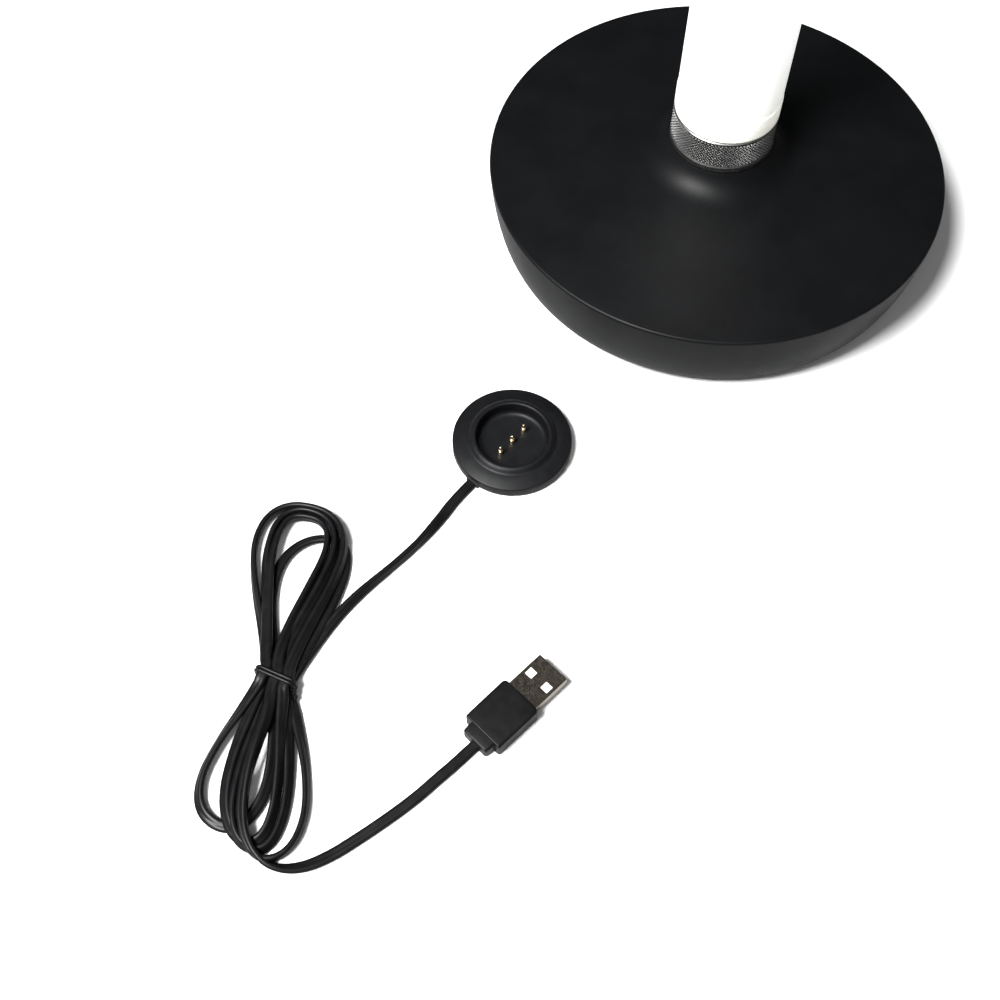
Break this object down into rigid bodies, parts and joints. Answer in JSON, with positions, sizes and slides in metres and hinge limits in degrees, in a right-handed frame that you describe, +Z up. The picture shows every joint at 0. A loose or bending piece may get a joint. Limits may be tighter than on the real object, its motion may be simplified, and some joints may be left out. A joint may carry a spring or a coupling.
{
  "type": "rechargeable led light tube",
  "caption": "Cordless light tube: opal LED cylinder on a weighted round black base with a knurled dimmer collar, and its magnetic charging lead with a flat cord tied in a hank.",
  "frame": {"origin": "on the lamp's axis, at the surface that it stands on", "axes": "+Z up along the light tube; the charging lead lies towards -X and -Y"},
  "size_m": [0.2538, 0.3345, 0.3312],
  "materials": {
    "base_coat": "satin",
    "knurled_steel": "knurled, satin",
    "opal_diffuser": "translucent opal, lit from inside",
    "aluminium": "machined",
    "zinc_steel": "zinc plated",
    "plate_black": "matt powder coat",
    "rubber_black": "matt",
    "battery_wrap": "shrink wrap",
    "abs_black": "fine moulded texture",
    "white_plastic": "moulded",
    "board_green": "solder mask",
    "board_white": "white solder mask",
    "chip_black": "epoxy",
    "led_phosphor": "phosphor gel",
    "gold_plate": "gold plated",
    "nickel_shell": "nickel plated, drawn",
    "magnet": "nickel plated",
    "cord_jacket": "satin PVC jacket",
    "puck_abs": "fine satin"
  },
  "bodies": {
    "base": {"base_housing": "base_coat", "ballast_ring": "zinc_steel", "ballast_screws": "zinc_steel", "bottom_plate": "plate_black", "plate_posts": "zinc_steel", "plate_screws": "zinc_steel", "foot_pads": "rubber_black", "battery_cells": "battery_wrap", "battery_cradle": "abs_black", "control_board": "board_green", "board_parts": "chip_black", "board_screws": "zinc_steel", "tube_socket": "white_plastic", "socket_contacts": "gold_plate", "collar_washer": "white_plastic", "retaining_clip": "zinc_steel", "dock_cup": "abs_black", "dock_contacts": "gold_plate", "dock_magnet": "magnet"},
    "collar": {"knurled_collar": "knurled_steel", "collar_magnet_ring": "magnet"},
    "light_tube": {"tube_ferrule": "aluminium", "ferrule_seal": "rubber_black", "contact_block": "white_plastic", "tube_contacts": "gold_plate", "diffuser_tube": "opal_diffuser", "end_cap": "opal_diffuser", "led_mast": "aluminium", "mast_foot": "aluminium", "mast_screws": "zinc_steel", "mast_spider": "white_plastic", "led_strips": "board_white", "led_chips": "led_phosphor"},
    "charging_lead": {"puck_cover": "puck_abs", "puck_base": "puck_abs", "puck_board": "board_green", "puck_magnet": "magnet", "puck_grommet": "rubber_black", "pogo_barrels": "gold_plate", "pogo_spring_a": "gold_plate", "pogo_spring_b": "gold_plate", "pogo_spring_c": "gold_plate", "cord_puck_lead": "cord_jacket", "cord_hank": "cord_jacket", "hank_tie": "cord_jacket", "cord_plug_lead": "cord_jacket", "plug_overmould": "cord_jacket", "plug_strain_relief": "cord_jacket", "plug_shell": "nickel_shell", "plug_tongue": "white_plastic", "plug_contacts": "gold_plate"},
    "pin_a": {"pogo_pin_a": "gold_plate"},
    "pin_b": {"pogo_pin_b": "gold_plate"},
    "pin_c": {"pogo_pin_c": "gold_plate"}
  },
  "joints": [
    {"name": "collar_turn", "type": "hinge", "parent": "base", "child": "collar", "pos_m": [0, 0, 0.053], "axis": [0, 0, 1], "range_deg": [-150, 150]},
    {"name": "tube_lift", "type": "slide", "parent": "base", "child": "light_tube", "axis": [0, 0, 1], "range_m": [0, 0.02]},
    {"name": "lead_lift", "type": "slide", "parent": "base", "child": "charging_lead", "axis": [0, 0, 1], "range_m": [0, 0.03]},
    {"name": "pin_a_press", "type": "slide", "parent": "charging_lead", "child": "pin_a", "axis": [0, 0, -1], "range_m": [0, 0.0011], "stiffness_N_per_m": 400, "springref_m": -0.0005, "deforming": ["pogo_spring_a"]},
    {"name": "pin_b_press", "type": "slide", "parent": "charging_lead", "child": "pin_b", "axis": [0, 0, -1], "range_m": [0, 0.0011], "stiffness_N_per_m": 400, "springref_m": -0.0005, "deforming": ["pogo_spring_b"]},
    {"name": "pin_c_press", "type": "slide", "parent": "charging_lead", "child": "pin_c", "axis": [0, 0, -1], "range_m": [0, 0.0011], "stiffness_N_per_m": 400, "springref_m": -0.0005, "deforming": ["pogo_spring_c"]}
  ]
}
